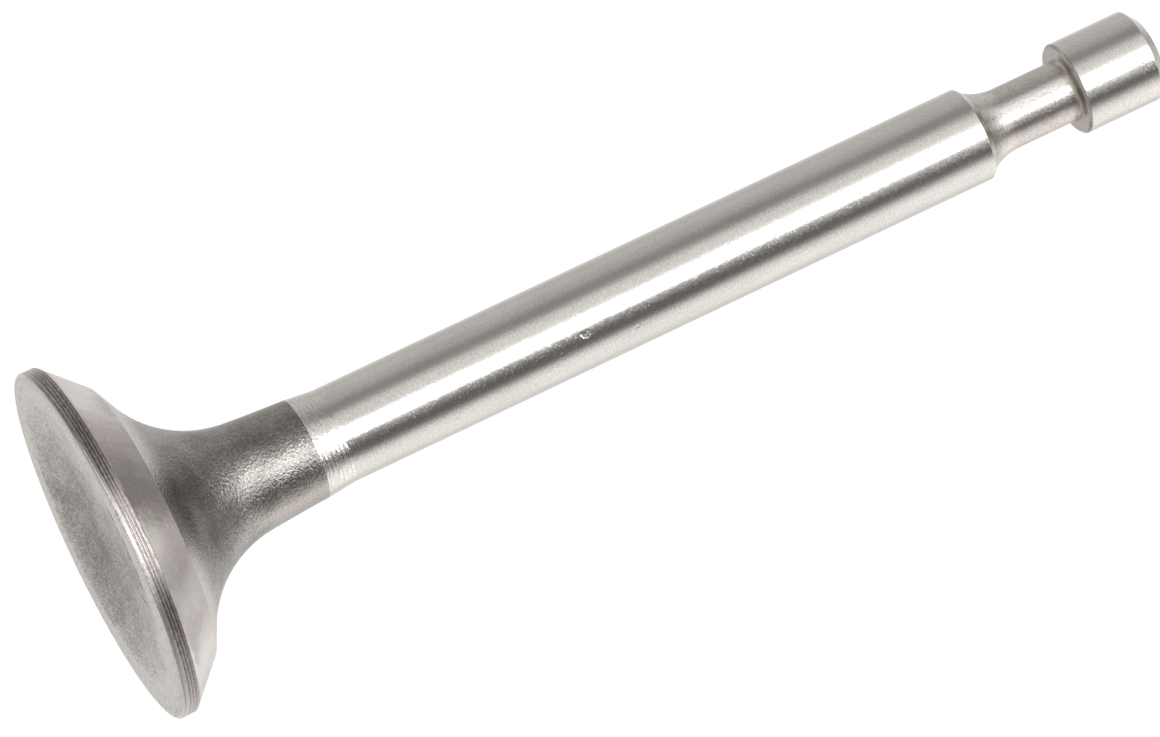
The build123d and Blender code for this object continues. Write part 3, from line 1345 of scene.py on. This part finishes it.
@dataclass
class Studio:
    """A plain pale floor and soft light all round, with upright panels for the steel to reflect."""

    room_level: float = 0.50
    panels: tuple[Panel, ...] = (
        Panel(bearing=180.0, half_width=36.0, level=0.80, softness=54.0),
        Panel(bearing=-60.0, half_width=13.0, level=0.31, softness=24.0),
        Panel(bearing=-20.0, half_width=20.0, level=0.86, softness=20.0),
        Panel(bearing=-116.0, half_width=18.0, level=0.60, softness=36.0),
        Panel(bearing=108.0, half_width=33.0, level=1.07, softness=46.0),
        Panel(bearing=50.0, half_width=18.0, level=0.15, softness=24.0),
        Panel(bearing=-6.0, half_width=8.0, level=1.6, softness=20.0, low=0.24),
        Panel(bearing=29.0, half_width=14.0, level=2.35, softness=12.0, low=0.37),
        Panel(bearing=7.1, half_width=12.9, level=3.7, softness=9.0),
    )
    high_panels: tuple[Panel, ...] = (
        Panel(bearing=114.0, half_width=22.0, level=1.5, softness=24.0, low=0.30, high=0.74),
    )
    left_ceiling: tuple[Point, ...] = (
        (0.23, 0.82), (0.43, 0.86), (0.695, 0.76), (0.842, 0.52), (0.928, 0.32), (0.968, 0.28),
    )
    right_ceiling: tuple[Point, ...] = (
        (0.24, 1.06), (0.427, 1.0), (0.58, 0.96), (0.695, 0.73), (0.78, 0.77), (0.842, 0.69),
        (0.89, 0.62), (0.928, 0.51), (0.95, 0.50), (0.964, 0.68),
    )
    ceiling_split: Span = (-0.09, -0.03)
    ceiling_behind: Span = (-0.1, 0.2)
    ceiling_low: Span = (0.3, 0.6)
    ceiling_high: Span = (0.62, 0.85)
    table_edge: Span = (0.0, -0.15)
    table_level: float = 0.95
    table_panels: tuple[Panel, ...] = (
        TablePanel(bearing=-75.0, half_width=26.0, level=0.42, softness=34.0),
        TablePanel(bearing=72.0, half_width=24.0, level=0.34, softness=30.0),
        TablePanel(bearing=132.0, half_width=9.0, level=0.30, softness=14.0),
        TablePanel(bearing=-134.0, half_width=8.0, level=0.38, softness=14.0),
        TablePanel(bearing=108.0, half_width=7.0, level=1.6, softness=10.0),
        TablePanel(bearing=-112.0, half_width=7.0, level=1.4, softness=10.0),
    )
    warmth: Colour = (1.0, 0.971, 0.942)
    white: Colour = (1.0, 1.0, 1.0)
    white_levels: Span = (1.1, 2.0)
    backdrop_level: float = 1.02
    floor_colour: Colour = (0.88, 0.88, 0.875)
    floor_radius: float = 0.9
    floor_fade_start: float = 0.25
    floor_segments: int = 96

    def build_light(self) -> None:
        """Makes the world: white to the camera, and the panels to everything else."""
        world = bpy.data.worlds.new("studio")
        world.use_nodes = True
        bpy.context.scene.world = world
        graph = Graph(world.node_tree)
        direction = graph.node("ShaderNodeTexCoord").outputs["Generated"]
        x, y, z = graph.parts(direction)
        around = bearing(x, y)
        level = around * 0.0 + self.room_level
        for panel in self.panels:
            level = panel.lay(around, z, level)
        left, right = graph.ramp(z, self.left_ceiling), graph.ramp(z, self.right_ceiling)
        ceiling = left + (right - left) * x.step(*self.ceiling_split)
        behind = y.step(*self.ceiling_behind)
        share = z.step(*self.ceiling_low) * behind + z.step(*self.ceiling_high) * (1.0 - behind)
        level = level + (ceiling - level) * share
        for panel in self.high_panels:
            level = panel.lay(around, z, level)
        level = level + (self.table_level - level) * z.step(*self.table_edge)
        for panel in self.table_panels:
            level = panel.lay(around, z, level)
        tint = graph.mix(level.step(*self.white_levels), self.warmth, self.white)
        light = graph.node("ShaderNodeBackground", None, {"Color": tint, "Strength": level})
        backdrop = {"Color": (*self.white, 1.0), "Strength": self.backdrop_level}
        white = graph.node("ShaderNodeBackground", None, backdrop)
        seen = graph.node("ShaderNodeLightPath").outputs["Is Camera Ray"]
        inputs = {0: seen, 1: light.outputs[0], 2: white.outputs[0]}
        mixed = graph.node("ShaderNodeMixShader", None, inputs)
        graph.end("ShaderNodeOutputWorld", mixed.outputs[0])

    def build_floor(self, hole_radius: float) -> bpy.types.Object:
        """Makes the floor, open under the valve's head and seen from above only.

        Args:
            hole_radius: The radius of the opening, in metres.

        Returns:
            The floor's object.
        """
        angles = [2 * math.pi * index / self.floor_segments for index in range(self.floor_segments)]
        radii = (hole_radius, self.floor_radius)
        points = [(radius * math.cos(a), radius * math.sin(a), 0.0) for radius in radii for a in angles]
        count = self.floor_segments
        faces = [(i, count + i, count + (i + 1) % count, (i + 1) % count) for i in range(count)]
        mesh = bpy.data.meshes.new("studio_floor")
        mesh.from_pydata(points, [], faces)
        mesh.materials.append(self._floor_material())
        floor = bpy.data.objects.new("studio_floor", mesh)
        floor.visible_glossy = False
        bpy.context.scene.collection.objects.link(floor)
        return floor

    def _floor_material(self) -> bpy.types.Material:
        """Makes pale paint that fades into the white background and is clear from below.

        Returns:
            The material.
        """
        material = new_material("studio_floor")
        graph = Graph(material.node_tree)
        local = graph.node("ShaderNodeTexCoord").outputs["Object"]
        x, y, _ = graph.parts(local)
        fade = ((x * x + y * y) ** 0.5).step(self.floor_fade_start, self.floor_radius)
        below = Number(graph, graph.node("ShaderNodeNewGeometry").outputs["Backfacing"])
        paint = graph.node("ShaderNodeBsdfDiffuse", None, {"Color": (*self.floor_colour, 1.0)})
        clear = graph.node("ShaderNodeBsdfTransparent")
        share = fade.math("MAXIMUM", below)
        mixed = graph.node("ShaderNodeMixShader", None, {0: share, 1: paint.outputs[0], 2: clear.outputs[0]})
        graph.end("ShaderNodeOutputMaterial", mixed.outputs[0])
        return material


@dataclass
class ViewPoint:
    """The camera: a long lens, a little below the head's face, rolled so that the stem rises to the right."""

    aim: Triple = (3.556, 0.0, 41.437)
    distance: float = 535.24
    elevation: float = -13.306
    roll: float = 64.60
    lens: float = 207.0
    sensor_width: float = 36.0
    clip: Span = (0.01, 10.0)

    def build(self) -> bpy.types.Object:
        """Makes the scene's camera.

        Returns:
            The camera's object.
        """
        data = bpy.data.cameras.new("camera")
        data.lens = self.lens
        data.sensor_width = self.sensor_width
        data.clip_start, data.clip_end = self.clip
        camera = bpy.data.objects.new("camera", data)
        rise = math.radians(self.elevation)
        back = Vector((0.0, -math.cos(rise), math.sin(rise)))
        camera.location = (Vector(self.aim) + back * self.distance) * MM
        camera.rotation_mode = "QUATERNION"
        level = (-back).to_track_quat("-Z", "Y")
        camera.rotation_quaternion = level @ Quaternion((0.0, 0.0, 1.0), math.radians(self.roll))
        bpy.context.scene.collection.objects.link(camera)
        bpy.context.scene.camera = camera
        return camera


def main() -> None:
    """Builds the camera, the studio and the valve."""
    logging.basicConfig(level=logging.INFO, format="%(name)s: %(message)s")
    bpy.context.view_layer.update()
    _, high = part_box("valve")
    bpy.context.scene.view_settings.view_transform = "Standard"
    camera = ViewPoint().build()
    LOG.info("%s at %s", camera.name, tuple(round(c, 4) for c in camera.location))
    valve = Valve(head_radius=high.x / MM, overall_length=high.z / MM)
    piece = valve.build()
    LOG.info("%s has %d faces", piece.name, len(piece.data.polygons))
    studio = Studio()
    studio.build_light()
    floor = studio.build_floor((valve.head_radius - valve.face_edge_radius / 2) * MM)
    LOG.info("%s reaches %.2f m", floor.name, studio.floor_radius)


if __name__ == "__main__":
    main()
